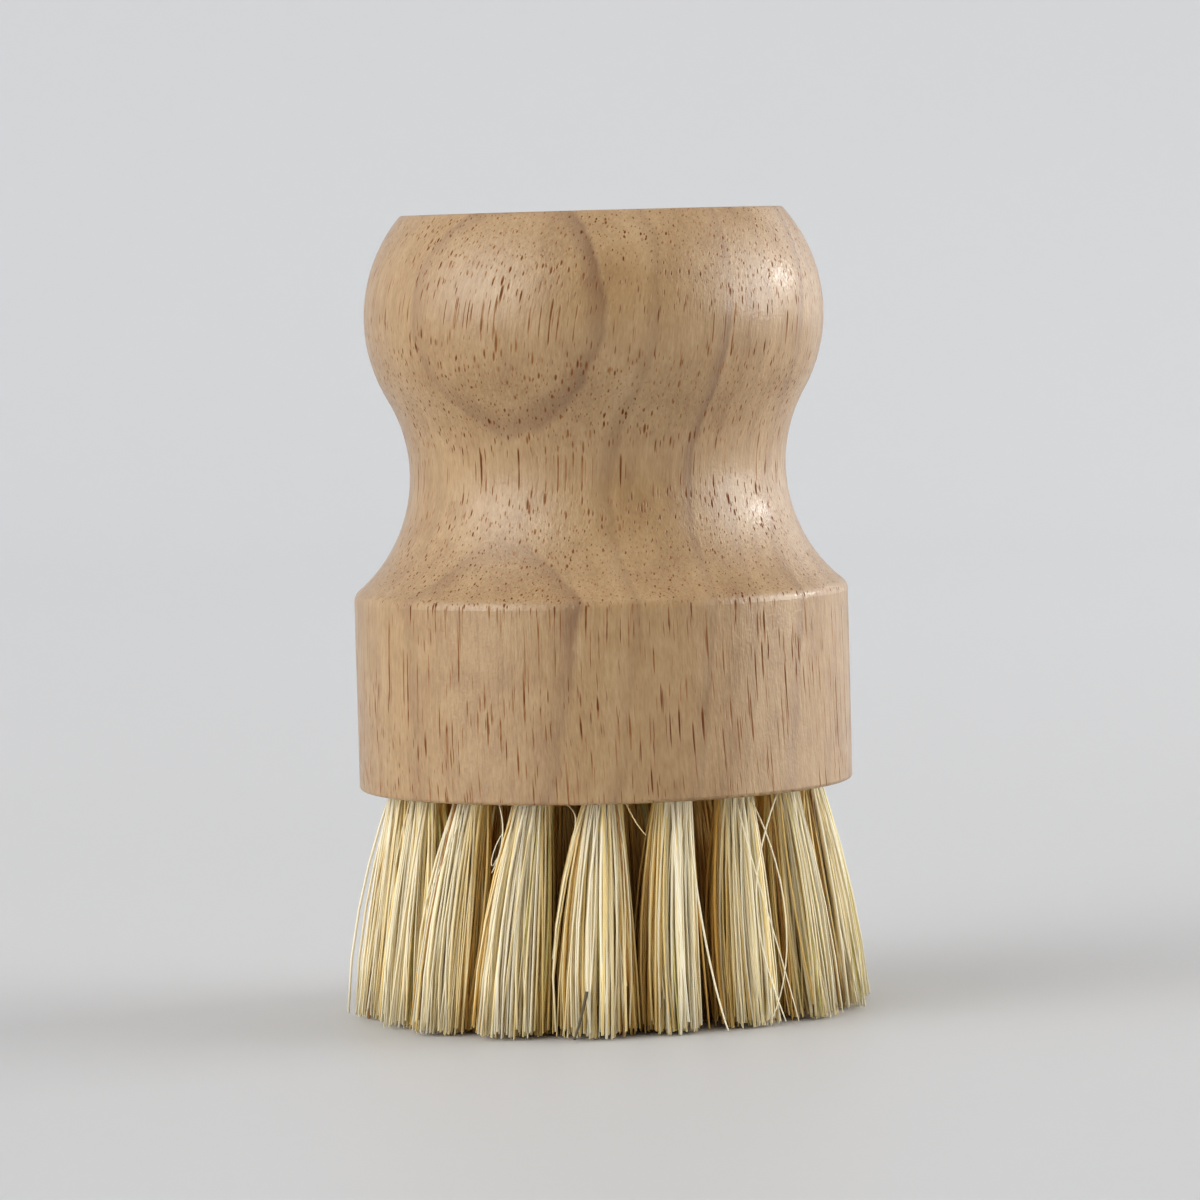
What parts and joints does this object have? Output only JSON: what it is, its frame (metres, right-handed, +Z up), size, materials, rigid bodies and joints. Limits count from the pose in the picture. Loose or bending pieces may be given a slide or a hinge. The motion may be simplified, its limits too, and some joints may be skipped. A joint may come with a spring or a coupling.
{
  "type": "dish brush",
  "caption": "Short round dish brush: a turned wooden knob handle with a hollow waist and a drum-shaped head, set with rings of stiff plant-fibre tufts trimmed flat for scrubbing.",
  "frame": {"origin": "middle of the plane of the trimmed fibre tips, under the turning axis", "axes": "+Z up along the turning axis from the tips to the knob; -Y towards the picture's viewer"},
  "size_m": [0.0574, 0.058, 0.0894],
  "materials": {
    "wood": "satin",
    "fibre": "matte",
    "anchor_wire": "satin"
  },
  "bodies": {
    "root": {"centre_anchor": "anchor_wire", "centre_tuft": "fibre", "handle_block": "wood", "inner_anchors": "anchor_wire", "inner_tuft_01": "fibre", "inner_tuft_02": "fibre", "inner_tuft_03": "fibre", "inner_tuft_04": "fibre", "inner_tuft_05": "fibre", "inner_tuft_06": "fibre", "middle_anchors": "anchor_wire", "middle_tuft_01": "fibre", "middle_tuft_02": "fibre", "middle_tuft_03": "fibre", "middle_tuft_04": "fibre", "middle_tuft_05": "fibre", "middle_tuft_06": "fibre", "middle_tuft_07": "fibre", "middle_tuft_08": "fibre", "middle_tuft_09": "fibre", "middle_tuft_10": "fibre", "middle_tuft_11": "fibre", "middle_tuft_12": "fibre", "outer_anchors": "anchor_wire", "outer_tuft_01": "fibre", "outer_tuft_02": "fibre", "outer_tuft_03": "fibre", "outer_tuft_04": "fibre", "outer_tuft_05": "fibre", "outer_tuft_06": "fibre", "outer_tuft_07": "fibre", "outer_tuft_08": "fibre", "outer_tuft_09": "fibre", "outer_tuft_10": "fibre", "outer_tuft_11": "fibre", "outer_tuft_12": "fibre", "outer_tuft_13": "fibre", "outer_tuft_14": "fibre", "outer_tuft_15": "fibre", "outer_tuft_16": "fibre", "outer_tuft_17": "fibre", "outer_tuft_18": "fibre"}
  },
  "joints": []
}
